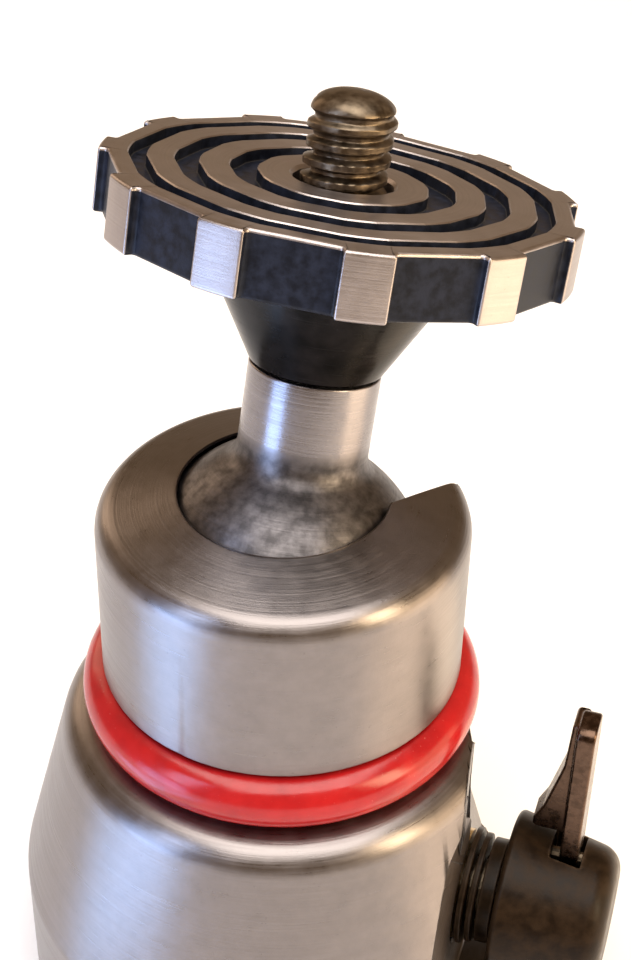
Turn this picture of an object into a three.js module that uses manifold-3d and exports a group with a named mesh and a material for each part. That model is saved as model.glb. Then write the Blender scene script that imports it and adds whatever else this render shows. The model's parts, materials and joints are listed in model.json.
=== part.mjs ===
// Small tripod ball head: a clamped ball carries a stem, a round camera platform and a 1/4 inch screw.
// Units are millimetres. +Z is up, the foot's underside is z = 0, and the body's axis is the Z axis.
// The lock knob points along +X, and the drop notch opens 60 degrees round from it.
import * as THREE from 'three';
import { mergeVertices } from 'three/addons/utils/BufferGeometryUtils.js';
import Module from 'manifold-3d';

const wasm = await Module();
wasm.setup();

// ---- Driving dimensions -------------------------------------------------------------------------

const GAP = 0.3; // clearance between neighbouring pieces
const AXLE_SEGMENTS = 24; // facets round small turned pieces
const BODY_SEGMENTS = 60; // facets round large turned pieces

// body
const SKIRT_R = 21.5;
const SKIRT_TOP = 14.3;
const CONE_FOOT_R = 21.3;
const SHOULDER_R = 14.8; // where the flat ledge meets the rounded corner
const SHOULDER_Z = 31;
const SHOULDER_ROUND = 3;
const GROOVE_R = 12.9;
const COLLAR_R = 14.1;
const COLLAR_BOTTOM = 36.15;
const COLLAR_TOP = 50.6;
const COLLAR_ROUND = 2;
const APERTURE_R = 7.85;
const BORE_R = 11.55;
const BORE_TOP = 49.2;

// ball and stem
const BALL_Z = 43.5;
const BALL_R = 11.1;
const CAVITY_R = 11.4;
const STEM_R = 4.9;
const STEM_FILLET = 2;
const STEM_END = 17.4;
const LEAN = THREE.MathUtils.degToRad(14.8);
const LEAN_AZIMUTH = THREE.MathUtils.degToRad(78.5);

// drop notch
const NOTCH_AZIMUTH = THREE.MathUtils.degToRad(60);
const NOTCH_HALF = 6.3;
const NOTCH_CENTRE_Z = BALL_Z - 0.3;

// platform, neck cone and camera screw, measured along the stem from the ball's centre
const PLATFORM_TOP = 31.34;
const PLATFORM_THICK = 4.64;
const PLATFORM_R = 17.15;
const RIM_NOTCHES = 11;
const RIM_NOTCH_HALF = 3.15;
const RIM_FLOOR_R = 16.2;
const RIM_PHASE = THREE.MathUtils.degToRad(29.6);
const TOP_GROOVES = [[6.07, 8.0], [10.15, 11.85], [13.78, 15.05]];
const TOP_GROOVE_DEPTH = 0.9;
const PLATFORM_HOLE_R = 3.6;
const CONE_TIP_R = 5;
const CONE_TOP_R = 9.8;
const SCREW_R = 3.175;
const SCREW_PITCH = 1.27;
const SCREW_PROUD = 6.3;

// lock knob, measured along +X
const KNOB_Z = 14.3;
const POCKET_Z = 16.7;
const POCKET_FLOOR = 16.4;
const POCKET_R = 12.3;
const HUB_R = 7.2;
const HUB_END_R = 5.6;
const HUB_START = 19.7;
const HUB_END = 28.7;
const NECK_R = 4.4;
const LOCK_SCREW_R = 2.4;
const LOCK_TIP = 8.9;
const BLADE_X = 23.85;
const BLADE_THICK = 1.5;
const BLADE_FOOT = 3.1;
const BLADE_REACH = 20.2;
const SLOT_START = 23.1;
const LEVER_PIN = [4.6, -1.5]; // above the knob's axis, and across from it
const LEVER_PIN_START = 21.2;
const LEVER_PIN_END = 27;

// wedge drive and foot
const WEDGE_SLOPE = Math.tan(THREE.MathUtils.degToRad(10));
const WEDGE_START = -7;
const WEDGE_END = LOCK_TIP - GAP;
const WEDGE_LOW_TOP = 17.5;
const WEDGE_HALF = 5;
const PLATE_THICK = 3.6;
const SPIGOT_TOP = 11.3;
const SOCKET_R = 4.2;
const INSERT_R = 6;
const BASE_SCREW_RING = 16.6;

// ---- Materials ----------------------------------------------------------------------------------

function material(color, roughness, metalness) {
  return new THREE.MeshStandardMaterial({ color, roughness, metalness });
}

const satinAluminium = material(0xb4b0b4, 0.34, 0.95);
const stemAluminium = material(0xb9b8bd, 0.28, 0.95);
const redRubber = material(0xd6281e, 0.42, 0);
const glossBlack = material(0x121112, 0.18, 0);
const knobBlack = material(0x3a2f29, 0.42, 0.3);
const steel = material(0x8f8576, 0.32, 0.95);
const brass = material(0xb08a45, 0.35, 0.95);
const ivoryPlastic = material(0xd8d2c0, 0.5, 0);

// ---- Solids -------------------------------------------------------------------------------------

// A closed three.js geometry as a manifold solid with its faces outward.
function toSolid(geometry) {
  const bare = geometry.clone();
  bare.deleteAttribute('normal');
  bare.deleteAttribute('uv');
  const merged = mergeVertices(bare, 1e-4);
  const points = merged.attributes.position.array;
  const corner = (i) => new THREE.Vector3(points[3 * i], points[3 * i + 1], points[3 * i + 2]);
  const triangles = [];
  let volume = 0;
  for (let i = 0; i < merged.index.count; i += 3) {
    const [a, b, c] = merged.index.array.slice(i, i + 3);
    if (a !== b && b !== c && c !== a) {
      triangles.push([a, b, c]);
      volume += corner(a).dot(corner(b).cross(corner(c)));
    }
  }
  const triVerts = Uint32Array.from(triangles.flatMap(([a, b, c]) => (volume > 0 ? [a, b, c] : [a, c, b])));
  const vertProperties = Float32Array.from(points);
  return new wasm.Manifold(new wasm.Mesh({ numProp: 3, vertProperties, triVerts }));
}

function toGeometry(solid) {
  const mesh = solid.getMesh();
  const geometry = new THREE.BufferGeometry();
  geometry.setAttribute('position', new THREE.BufferAttribute(mesh.vertProperties, 3));
  geometry.setIndex(new THREE.BufferAttribute(mesh.triVerts, 1));
  geometry.computeVertexNormals();
  return geometry;
}

// A turned solid about Z. The profile is a list of [radius, height] and closes on itself.
function turned(profile, segments = AXLE_SEGMENTS) {
  const points = [...profile, profile[0]].map(([r, z]) => new THREE.Vector2(r, z));
  return toSolid(new THREE.LatheGeometry(points, segments).rotateX(Math.PI / 2));
}

function rod(radius, from, to, segments = AXLE_SEGMENTS) {
  return turned([[0, from], [radius, from], [radius, to], [0, to]], segments);
}

function tube(inner, outer, from, to, segments = AXLE_SEGMENTS) {
  return turned([[inner, from], [outer, from], [outer, to], [inner, to]], segments);
}

function box(low, high) {
  const size = high.map((value, i) => value - low[i]);
  const middle = high.map((value, i) => (value + low[i]) / 2);
  return toSolid(new THREE.BoxGeometry(...size).translate(...middle));
}

// An outline of [across, up] points pushed along a direction, starting at an origin.
function pushed(outline, depth, origin, across, up) {
  const shape = new THREE.Shape(outline.map(([x, y]) => new THREE.Vector2(x, y)));
  const along = new THREE.Vector3().crossVectors(across, up);
  const place = new THREE.Matrix4().makeBasis(across, up, along).setPosition(origin);
  return toSolid(new THREE.ExtrudeGeometry(shape, { depth, bevelEnabled: false }).applyMatrix4(place));
}

// Points on an arc of [across, up] about a centre, from one angle to another in degrees.
function arc(centreX, centreY, radius, from, to, steps) {
  const points = [];
  for (let i = 0; i <= steps; i += 1) {
    const angle = THREE.MathUtils.degToRad(from + ((to - from) * i) / steps);
    points.push([centreX + radius * Math.cos(angle), centreY + radius * Math.sin(angle)]);
  }
  return points;
}

function around(radius, azimuth, z = 0) {
  return new THREE.Vector3(radius * Math.cos(azimuth), radius * Math.sin(azimuth), z);
}

// Turns a solid made along Z so that it lies along +X at the knob's height, with its +X side up.
const KNOB_BASIS = new THREE.Matrix4().makeBasis(
  new THREE.Vector3(0, 0, 1), new THREE.Vector3(0, -1, 0), new THREE.Vector3(1, 0, 0),
).setPosition(0, 0, KNOB_Z);

function alongKnob(solid) {
  return toSolid(toGeometry(solid).applyMatrix4(KNOB_BASIS));
}

// ---- Scene helpers ------------------------------------------------------------------------------

const ballHead = new THREE.Group();
const stemGroup = new THREE.Group();
const leanDirection = around(Math.sin(LEAN), LEAN_AZIMUTH, Math.cos(LEAN));
stemGroup.position.set(0, 0, BALL_Z);
stemGroup.quaternion.setFromUnitVectors(new THREE.Vector3(0, 0, 1), leanDirection);
const knobGroup = new THREE.Group();
knobGroup.quaternion.setFromRotationMatrix(KNOB_BASIS);
knobGroup.position.set(0, 0, KNOB_Z);
ballHead.add(stemGroup, knobGroup);

function addPiece(parent, name, solid, finish) {
  const mesh = new THREE.Mesh(toGeometry(solid), finish);
  mesh.name = name;
  parent.add(mesh);
}

// ---- Housing ------------------------------------------------------------------------------------

// The slot that the stem drops into, round at the bottom and open at the top.
function notchCutter() {
  const top = COLLAR_TOP + 6 - NOTCH_CENTRE_Z;
  const outline = [...arc(0, 0, NOTCH_HALF, 180, 360, 16), [NOTCH_HALF, top], [-NOTCH_HALF, top]];
  const direction = around(1, NOTCH_AZIMUTH);
  const up = new THREE.Vector3(0, 0, 1);
  const across = new THREE.Vector3().crossVectors(up, direction);
  return pushed(outline, 2 * COLLAR_R, new THREE.Vector3(0, 0, NOTCH_CENTRE_Z), across, up);
}

function housingBlank() {
  const cavityTop = Math.asin(Math.sqrt(1 - (APERTURE_R / CAVITY_R) ** 2));
  const cavityFoot = Math.asin((BORE_TOP - BALL_Z) / CAVITY_R);
  const degrees = THREE.MathUtils.radToDeg;
  return turned([
    [BORE_R, PLATE_THICK + GAP],
    [SKIRT_R - 0.4, PLATE_THICK + GAP],
    [SKIRT_R, PLATE_THICK + GAP + 0.4],
    [SKIRT_R, SKIRT_TOP],
    [CONE_FOOT_R, SKIRT_TOP + 0.4],
    ...arc(SHOULDER_R, SHOULDER_Z - SHOULDER_ROUND, SHOULDER_ROUND, 14.3, 90, 4),
    [GROOVE_R, SHOULDER_Z],
    [GROOVE_R, COLLAR_BOTTOM],
    [COLLAR_R - 0.15, COLLAR_BOTTOM],
    [COLLAR_R, COLLAR_BOTTOM + 0.2],
    ...arc(COLLAR_R - COLLAR_ROUND, COLLAR_TOP - 1.93, COLLAR_ROUND, 0, 75, 5),
    [APERTURE_R + 0.15, BALL_Z + CAVITY_R * Math.sin(cavityTop) + 0.05],
    ...arc(0, BALL_Z, CAVITY_R, degrees(cavityTop), degrees(cavityFoot), 4),
    [BORE_R, BORE_TOP],
  ], BODY_SEGMENTS);
}

// A flat on the body's side, drawn as [distance from the axis, height], between two places across it.
function flatCutter(degrees, outline, from, to) {
  const azimuth = THREE.MathUtils.degToRad(degrees);
  const side = around(1, azimuth + Math.PI / 2);
  return pushed(outline, to - from, side.multiplyScalar(to), around(1, azimuth), new THREE.Vector3(0, 0, 1));
}

// The flat above the knob, which runs out on the cone in a sloping end.
function upperFlat() {
  return flatCutter(8, [[15.8, 22.5], [15.8, 35], [30, 35], [30, 8.3]], -30, 30);
}

// The longer flat behind the knob, which falls away gently toward the foot.
function rearFlat() {
  return flatCutter(22, [[14.7, 20], [14.7, 35], [30, 35], [30, 5], [19.5, 5]], -6, 30);
}

function guidePinSlot(radius, from, to) {
  return rod(radius, from, to, 16).translate([0, -BORE_R, 0]);
}

function baseScrewPlaces() {
  return [90, 210, 330].map((degrees) => around(BASE_SCREW_RING, THREE.MathUtils.degToRad(degrees)));
}

function housing() {
  let solid = housingBlank()
    .subtract(notchCutter())
    .subtract(upperFlat())
    .subtract(rearFlat())
    .subtract(alongKnob(rod(POCKET_R, POCKET_FLOOR, 32, 48).translate([POCKET_Z - KNOB_Z, 0, 0])))
    .subtract(alongKnob(rod(4.9, 8, 20)))
    .subtract(guidePinSlot(1.3, SPIGOT_TOP + 0.4, 25));
  for (const place of baseScrewPlaces()) {
    solid = solid.subtract(rod(1.3, 0, 11.3, 16).translate([place.x, place.y, 0]));
  }
  return solid;
}

function bumperRing() {
  return turned(arc(13.5, 33.55, 2.25, -98, 98, 9), 48);
}

function upperSeat() {
  const low = 47.2 - BALL_Z;
  const high = 48.9 - BALL_Z;
  const inner = (z) => Math.sqrt(CAVITY_R ** 2 - z ** 2);
  const ring = turned([
    [inner(low), low + BALL_Z],
    [BORE_R - GAP, low + BALL_Z],
    [BORE_R - GAP, high + BALL_Z],
    [inner(high), high + BALL_Z],
  ], 48);
  return ring.subtract(notchCutter());
}

// ---- Ball, stem and platform (local Z runs along the stem from the ball's centre) ----------------

function ballStud() {
  const filletX = STEM_R + STEM_FILLET;
  const filletDistance = BALL_R + STEM_FILLET;
  const filletZ = Math.sqrt(filletDistance ** 2 - filletX ** 2);
  const ballEnd = THREE.MathUtils.radToDeg(Math.atan2(filletZ, filletX));
  return turned([
    ...arc(0, 0, BALL_R, -90, ballEnd, 13),
    ...arc(filletX, filletZ, STEM_FILLET, 180 + ballEnd, 180, 3).slice(1),
    [STEM_R, STEM_END - 0.15],
    [STEM_R - 0.15, STEM_END],
    [0, STEM_END],
  ], 44);
}

function neckCone() {
  const tip = STEM_END + GAP;
  const under = PLATFORM_TOP - PLATFORM_THICK - GAP;
  return turned([[0, tip], [CONE_TIP_R, tip], [CONE_TOP_R, under], [0, under]], 40);
}

// One flat-floored notch in the platform's rim, with rounded inner corners.
function rimNotch(angle) {
  const half = RIM_NOTCH_HALF;
  const round = 0.6;
  const outline = [
    ...arc(RIM_FLOOR_R + round, half - round, round, 180, 90, 3),
    [PLATFORM_R + 2, half],
    [PLATFORM_R + 2, -half],
    ...arc(RIM_FLOOR_R + round, -half + round, round, 270, 180, 3),
  ];
  const across = around(1, angle);
  const up = around(1, angle + Math.PI / 2);
  return pushed(outline, 9, new THREE.Vector3(0, 0, PLATFORM_TOP - 7), across, up);
}

function platformDisc() {
  const bottom = PLATFORM_TOP - PLATFORM_THICK;
  const floor = PLATFORM_TOP - TOP_GROOVE_DEPTH;
  const grooves = [...TOP_GROOVES].reverse().flatMap(([inner, outer]) => [
    [outer, PLATFORM_TOP], [outer, floor], [inner, floor], [inner, PLATFORM_TOP],
  ]);
  let solid = turned([
    [PLATFORM_HOLE_R, bottom],
    [PLATFORM_R - 0.2, bottom],
    [PLATFORM_R, bottom + 0.2],
    [PLATFORM_R, PLATFORM_TOP - 0.3],
    [PLATFORM_R - 0.3, PLATFORM_TOP],
    ...grooves,
    [PLATFORM_HOLE_R, PLATFORM_TOP],
  ], 60);
  const step = (2 * Math.PI) / RIM_NOTCHES;
  for (let i = 0; i < RIM_NOTCHES; i += 1) {
    solid = solid.subtract(rimNotch(RIM_PHASE + (i + 0.5) * step));
  }
  return solid;
}

// The camera screw's threads are modelled as separate V rings of the true pitch.
function cameraScrew() {
  const foot = PLATFORM_TOP - PLATFORM_THICK;
  const end = PLATFORM_TOP + SCREW_PROUD;
  const rootR = SCREW_R - 0.61 * SCREW_PITCH;
  const profile = [[0, foot], [SCREW_R, foot]];
  for (let z = PLATFORM_TOP - 0.6; z < end - SCREW_PITCH; z += SCREW_PITCH) {
    profile.push([SCREW_R, z], [rootR, z + SCREW_PITCH / 2], [SCREW_R, z + SCREW_PITCH]);
  }
  const last = profile[profile.length - 1][1];
  return turned([...profile, [SCREW_R, last + 0.1], [2.5, end], [0, end]]);
}

// ---- Lock knob (local Z runs along +X, local X points up) -----------------------------------------

function knobHub() {
  const blank = turned([
    [2.1, HUB_START],
    [HUB_R - 0.5, HUB_START],
    [HUB_R, HUB_START + 0.5],
    ...arc(HUB_END_R - 2, HUB_END - 2, 2, 4, 90, 5),
    [0, HUB_END],
    [0, HUB_START + 2.9],
    [2.1, HUB_START + 2.9],
  ], 36);
  const slotEnd = BLADE_X + BLADE_THICK + GAP;
  const slot = box([BLADE_FOOT - GAP, -4, SLOT_START], [HUB_R + 1, 0.8, slotEnd]);
  const pinHole = rod(0.9, LEVER_PIN_START - GAP, LEVER_PIN_END + GAP, 12).translate([...LEVER_PIN, 0]);
  return blank.subtract(slot).subtract(pinHole);
}

// The web behind the lever, which sweeps down from the blade's tip to a wide root over the hub.
function leverWeb() {
  const root = HUB_R + 0.5;
  const outline = [
    [BLADE_X + 0.5, root], [BLADE_X - 2.65, root], [BLADE_X - 2.65, root + 0.9], [BLADE_X - 1.95, 10.2],
    [BLADE_X - 1.35, 12.6], [BLADE_X - 0.75, 15], [BLADE_X - 0.5, 19.6], [BLADE_X + 0.5, 19.6],
  ];
  const origin = new THREE.Vector3(0, -3.5, 0);
  return pushed(outline, 2.5, origin, new THREE.Vector3(0, 0, 1), new THREE.Vector3(1, 0, 0));
}

function leverBlade() {
  const outline = [
    [BLADE_FOOT, 0.4], [BLADE_REACH - 0.8, 0.4], [BLADE_REACH - 0.2, 0], [BLADE_REACH, -0.6],
    [BLADE_REACH, -2.4], [BLADE_REACH - 0.8, -3.2], [8, -3.6], [BLADE_FOOT, -3.6],
  ];
  const origin = new THREE.Vector3(0, 0, BLADE_X);
  const blade = pushed(outline, BLADE_THICK, origin, new THREE.Vector3(1, 0, 0), new THREE.Vector3(0, 1, 0));
  const pinHole = rod(0.9, BLADE_X - 1, BLADE_X + BLADE_THICK + 1, 12).translate([...LEVER_PIN, 0]);
  return blade.add(leverWeb()).subtract(pinHole);
}

function leverPin() {
  return rod(0.6, LEVER_PIN_START, LEVER_PIN_END, 12).translate([...LEVER_PIN, 0]);
}

function lockScrew() {
  return turned([
    [0, LOCK_TIP],
    [1.6, LOCK_TIP],
    [LOCK_SCREW_R, LOCK_TIP + 0.8],
    [LOCK_SCREW_R, HUB_START - 0.5],
    [1.8, HUB_START - 0.5],
    [1.8, HUB_START + 2.6],
    [0, HUB_START + 2.6],
  ]);
}

// ---- Clamp inside the housing ---------------------------------------------------------------------

function lowerCup() {
  const edge = 38;
  const edgeAngle = THREE.MathUtils.radToDeg(Math.asin((edge - BALL_Z) / CAVITY_R));
  return turned([
    [0, 27.6],
    [10.6, 27.6],
    [BORE_R - GAP, 28.2],
    [BORE_R - GAP, edge],
    ...arc(0, BALL_Z, CAVITY_R, edgeAngle, -90, 6),
  ], 36);
}

// A conical spring washer whose inner edge stands higher than its outer edge.
function discSpring(z) {
  const cone = 0.5;
  const thick = 0.6;
  return turned([[3.2, z + cone], [9.8, z], [9.8, z + thick], [3.2, z + cone + thick]]);
}

function wedgeTop(x) {
  return WEDGE_LOW_TOP + WEDGE_SLOPE * (x - WEDGE_START);
}

function liftBlock() {
  const r = BORE_R - GAP;
  const above = [[-14, wedgeTop(-14) + GAP], [14, wedgeTop(14) + GAP], [14, 30], [-14, 30]];
  const side = new THREE.Vector3(0, 14, 0);
  const keep = pushed(above, 28, side, new THREE.Vector3(1, 0, 0), new THREE.Vector3(0, 0, 1));
  return tube(4.6, r, 14, 24.2, 40).intersect(keep).subtract(guidePinSlot(1.3, 11, 26));
}

function wedge() {
  const outline = [
    [WEDGE_START, SPIGOT_TOP + GAP], [WEDGE_END, SPIGOT_TOP + GAP],
    [WEDGE_END, wedgeTop(WEDGE_END)], [WEDGE_START, wedgeTop(WEDGE_START)],
  ];
  const side = new THREE.Vector3(0, WEDGE_HALF, 0);
  return pushed(outline, 2 * WEDGE_HALF, side, new THREE.Vector3(1, 0, 0), new THREE.Vector3(0, 0, 1));
}

// The compression spring between the wedge and the wall of the bore.
function returnSpring() {
  const turns = 4;
  const wire = 0.32;
  const start = -BORE_R + 0.65 + wire;
  const length = WEDGE_START - GAP - wire - start;
  const points = [];
  for (let i = 0; i <= turns * 12; i += 1) {
    const angle = (i / 12) * 2 * Math.PI;
    const x = start + (length * i) / (turns * 12);
    points.push(new THREE.Vector3(x, 1.7 * Math.cos(angle), 15 + 1.7 * Math.sin(angle)));
  }
  const section = new THREE.Shape(arc(0, 0, wire, 0, 300, 5).map(([x, y]) => new THREE.Vector2(x, y)));
  const extrudePath = new THREE.CatmullRomCurve3(points);
  return toSolid(new THREE.ExtrudeGeometry(section, { steps: turns * 14, extrudePath }));
}

// ---- Foot -----------------------------------------------------------------------------------------

function basePlate() {
  let solid = turned([
    [INSERT_R + GAP, 0],
    [SKIRT_R - 0.6, 0],
    [SKIRT_R - 0.1, 0.5],
    [SKIRT_R - 0.1, PLATE_THICK],
    [BORE_R - GAP, PLATE_THICK],
    [BORE_R - GAP, SPIGOT_TOP],
    [0, SPIGOT_TOP],
    [0, SPIGOT_TOP - 2.5],
    [INSERT_R + GAP, SPIGOT_TOP - 2.5],
  ], BODY_SEGMENTS);
  for (const place of baseScrewPlaces()) {
    const hole = turned([[0, -1], [2.9, -1], [2.9, 0.1], [1.3, 1.9], [1.3, 5], [0, 5]], 16);
    solid = solid.subtract(hole.translate([place.x, place.y, 0]));
  }
  return solid;
}

function tripodInsert() {
  return tube(SOCKET_R, INSERT_R, 0.4, SPIGOT_TOP - 2.5 - GAP, 32);
}

function baseScrew(place) {
  const profile = [[0, 0.3], [2.4, 0.3], [2.4, 0.45], [1.0, 1.9], [1.0, 10.9], [0, 10.9]];
  return turned(profile, 16).translate([place.x, place.y, 0]);
}

// ---- Assembly -------------------------------------------------------------------------------------

addPiece(ballHead, 'housing', housing(), satinAluminium);
addPiece(ballHead, 'bumper_ring', bumperRing(), redRubber);
addPiece(ballHead, 'upper_seat', upperSeat(), ivoryPlastic);

addPiece(stemGroup, 'ball_stud', ballStud(), stemAluminium);
addPiece(stemGroup, 'neck_cone', neckCone(), glossBlack);
addPiece(stemGroup, 'platform_disc', platformDisc(), satinAluminium);
addPiece(stemGroup, 'camera_screw', cameraScrew(), steel);

addPiece(knobGroup, 'lock_bush', tube(LOCK_SCREW_R + GAP, 4.6, BORE_R + 0.6, POCKET_FLOOR - 0.1), brass);
addPiece(knobGroup, 'thrust_washer_inner', tube(LOCK_SCREW_R + GAP, 4.9, 16.6, 17.1), knobBlack);
addPiece(knobGroup, 'thrust_washer_outer', tube(LOCK_SCREW_R + GAP, 4.6, 17.4, 17.9), knobBlack);
addPiece(knobGroup, 'spacer_sleeve', tube(LOCK_SCREW_R + GAP, NECK_R, 18.2, HUB_START - GAP), knobBlack);
addPiece(knobGroup, 'knob_hub', knobHub(), knobBlack);
addPiece(knobGroup, 'lever_blade', leverBlade(), steel);
addPiece(knobGroup, 'lever_pin', leverPin(), steel);
addPiece(knobGroup, 'lock_screw', lockScrew(), steel);

addPiece(ballHead, 'lower_cup', lowerCup(), ivoryPlastic);
addPiece(ballHead, 'disc_spring_upper', discSpring(26.2), steel);
addPiece(ballHead, 'disc_spring_lower', discSpring(24.5), steel);
addPiece(ballHead, 'lift_block', liftBlock(), satinAluminium);
addPiece(ballHead, 'guide_pin', guidePinSlot(1.0, SPIGOT_TOP + 0.7, 24.5), steel);
addPiece(ballHead, 'wedge', wedge(), steel);
addPiece(ballHead, 'return_spring', returnSpring(), steel);

addPiece(ballHead, 'base_plate', basePlate(), satinAluminium);
addPiece(ballHead, 'tripod_insert', tripodInsert(), steel);
baseScrewPlaces().forEach((place, i) => addPiece(ballHead, `base_screw_${i + 1}`, baseScrew(place), steel));

export default ballHead;
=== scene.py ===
"""Looks for a small tripod ball head: turned satin aluminium, a red rubber ring and a dark lock knob.

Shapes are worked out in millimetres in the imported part's frame and scaled to metres as they are made.
"""

import json
import math

import bmesh
import bpy
from mathutils import Matrix, Vector, noise


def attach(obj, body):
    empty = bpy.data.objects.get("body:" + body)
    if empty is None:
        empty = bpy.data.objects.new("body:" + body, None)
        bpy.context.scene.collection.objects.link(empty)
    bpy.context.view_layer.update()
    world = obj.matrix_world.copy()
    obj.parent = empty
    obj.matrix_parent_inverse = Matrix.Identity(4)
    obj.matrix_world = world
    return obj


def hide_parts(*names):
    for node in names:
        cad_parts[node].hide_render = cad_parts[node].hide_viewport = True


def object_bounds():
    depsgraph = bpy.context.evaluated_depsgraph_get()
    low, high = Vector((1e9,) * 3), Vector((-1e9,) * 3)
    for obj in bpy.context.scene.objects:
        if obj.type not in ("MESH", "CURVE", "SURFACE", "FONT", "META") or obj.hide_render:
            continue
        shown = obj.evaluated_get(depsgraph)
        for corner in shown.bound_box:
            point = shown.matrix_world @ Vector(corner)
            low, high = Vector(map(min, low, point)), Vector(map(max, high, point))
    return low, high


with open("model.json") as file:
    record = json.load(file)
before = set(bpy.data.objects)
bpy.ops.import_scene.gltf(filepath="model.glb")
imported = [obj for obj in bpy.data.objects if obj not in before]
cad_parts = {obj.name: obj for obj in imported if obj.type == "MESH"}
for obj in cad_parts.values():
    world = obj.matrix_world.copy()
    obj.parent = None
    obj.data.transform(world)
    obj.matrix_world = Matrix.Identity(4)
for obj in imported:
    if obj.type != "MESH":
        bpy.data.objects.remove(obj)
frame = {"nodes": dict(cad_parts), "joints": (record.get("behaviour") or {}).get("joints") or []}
cad_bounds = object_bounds()
MM = 0.001


# ---- Places and driving sizes from the frame -----------------------------------------------------


def joint(name):
    return next(j for j in frame["joints"] if j["name"] == name)


BALL = Vector(joint("ball_tilt")["pos_m"]) / MM
STEM_DIRECTION = Vector(joint("platform_turn")["axis"]).normalized()
KNOB_Z = joint("knob_turn")["pos_m"][2] / MM

GAP = 0.3  # clearance between neighbouring pieces

# foot
PLATE_R = 21.4
PLATE_THICK = 3.6
SPIGOT_R = 11.25
SPIGOT_TOP = 11.3
INSERT_HOLE_R = 6.3
INSERT_HOLE_TOP = 8.8
BASE_SCREW_RING = 16.6
BASE_SCREWS = (90, 210, 330)  # degrees round from +X
BASE_HEAD_R = 2.4
BASE_HEAD_START = 0.3
BASE_HEAD_END = 1.9
BASE_SHANK_R = 1.0
BASE_SHANK_END = 10.9

# body, about Z
SKIRT_R = 21.5
SKIRT_TOP = 14.3
SHOULDER_R = 17.14
SHOULDER_Z = 31
GROOVE_R = 12.9
COLLAR_R = 14.1
COLLAR_BOTTOM = 36.15
COLLAR_TOP = 50.22
APERTURE_R = 7.9
APERTURE_Z = 51.83
BORE_R = 11.55
BORE_TOP = 49.2
CAVITY_R = 11.4
NOTCH_DEGREES = 60
NOTCH_HALF = 6.3
NOTCH_CENTRE = BALL - Vector((0, 0, 0.3))

# bumper ring
RING_R = 13.5
RING_Z = 33.55
RING_SECTION_R = 2.25

# ball, stem and platform, from the ball's centre along the stem
BALL_R = 11.1
STEM_R = 4.9
STEM_FILLET = 2
STEM_END = 17.4
PLATFORM_TOP = 31.34
PLATFORM_BOTTOM = 26.7
PLATFORM_R = 17.15
PLATFORM_HOLE_R = 3.6
RIM_NOTCHES = 11
RIM_NOTCH_HALF = 3.15
RIM_FLOOR_R = 16.2
RIM_PHASE = math.radians(29.6)
RIM_EDGE_STEPS = 4  # how finely the rim's two edges are rounded
TOP_GROOVES = [(13.78, 15.05), (10.15, 11.85), (6.07, 8.0)]
TOP_GROOVE_DEPTH = 0.9
CONE_TIP_R = 5
CONE_TOP_R = 9.8
SCREW_R = 3.175
SCREW_PITCH = 1.27
SCREW_END = PLATFORM_TOP + 6.3

# lock knob, along +X from the body's axis
POCKET_Z = 16.7
POCKET_FLOOR = 16.4
POCKET_R = 12.3
POCKET_MOUTH = 32  # clear of the body
CHANNEL_R = 4.9
NECK_BORE_R = 2.7
HUB_R = 7.2
HUB_END_R = 5.6
HUB_START = 19.7
HUB_END = 28.7
HUB_BORE_R = 2.1
HUB_BORE_END = 22.6
BLADE_X = 23.85
BLADE_THICK = 1.5
BLADE_FOOT = 3.1
BLADE_REACH = 20.2
SLOT_START = 23.1
LEVER_PIN = (4.6, -1.5)  # above the knob's axis, and across from it
LEVER_PIN_HOLE_R = 0.9
LEVER_PIN_START = 21.2
LEVER_PIN_END = 27


def around(radius, degrees):
    """A place round the Z axis, measured from +X."""
    angle = math.radians(degrees)
    return Vector((radius * math.cos(angle), radius * math.sin(angle), 0))


# ---- Camera, lights and floor --------------------------------------------------------------------

CAMERA_PLACE = Vector((33.36, -102.67, 134.13))
CAMERA_YAW = 0.02175 - math.radians(18)
CAMERA_PITCH = -0.64601
CAMERA_ROLL = 0.02442
CAMERA_LENS = 68.93


def make_camera():
    data = bpy.data.cameras.new("photo_camera")
    data.lens = CAMERA_LENS
    data.sensor_width = 36
    data.clip_start = 0.01
    camera = bpy.data.objects.new("photo_camera", data)
    bpy.context.scene.collection.objects.link(camera)
    sy, cy = math.sin(CAMERA_YAW), math.cos(CAMERA_YAW)
    sp, cp = math.sin(CAMERA_PITCH), math.cos(CAMERA_PITCH)
    forward = Vector((sy * cp, cy * cp, sp))
    right = Vector((cy, -sy, 0))
    up = right.cross(forward)
    sr, cr = math.sin(CAMERA_ROLL), math.cos(CAMERA_ROLL)
    rolled_right = cr * right + sr * up
    rolled_up = cr * up - sr * right
    turn = Matrix((rolled_right, rolled_up, -forward)).transposed()
    camera.matrix_world = Matrix.Translation(CAMERA_PLACE * MM) @ turn.to_4x4()
    bpy.context.scene.camera = camera


def direction(azimuth, elevation):
    """The unit vector toward an azimuth from +X and a height above the horizon, both in degrees."""
    rise = math.radians(elevation)
    return around(math.cos(rise), azimuth) + Vector((0, 0, math.sin(rise)))


def area_light(name, location, back, size, power, color):
    """A lit rectangle whose dark side faces along back."""
    data = bpy.data.lights.new(name, "AREA")
    data.shape = "RECTANGLE"
    data.size, data.size_y = size
    data.energy = power
    data.color = color
    light = bpy.data.objects.new(name, data)
    bpy.context.scene.collection.objects.link(light)
    light.location = location
    light.rotation_euler = back.to_track_quat("Z", "Y").to_euler()


def lamp(name, azimuth, elevation, distance, size, power, color):
    """A large soft light that faces the ball."""
    back = direction(azimuth, elevation)
    area_light(name, BALL * MM + back * distance, back, size, power, color)


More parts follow.
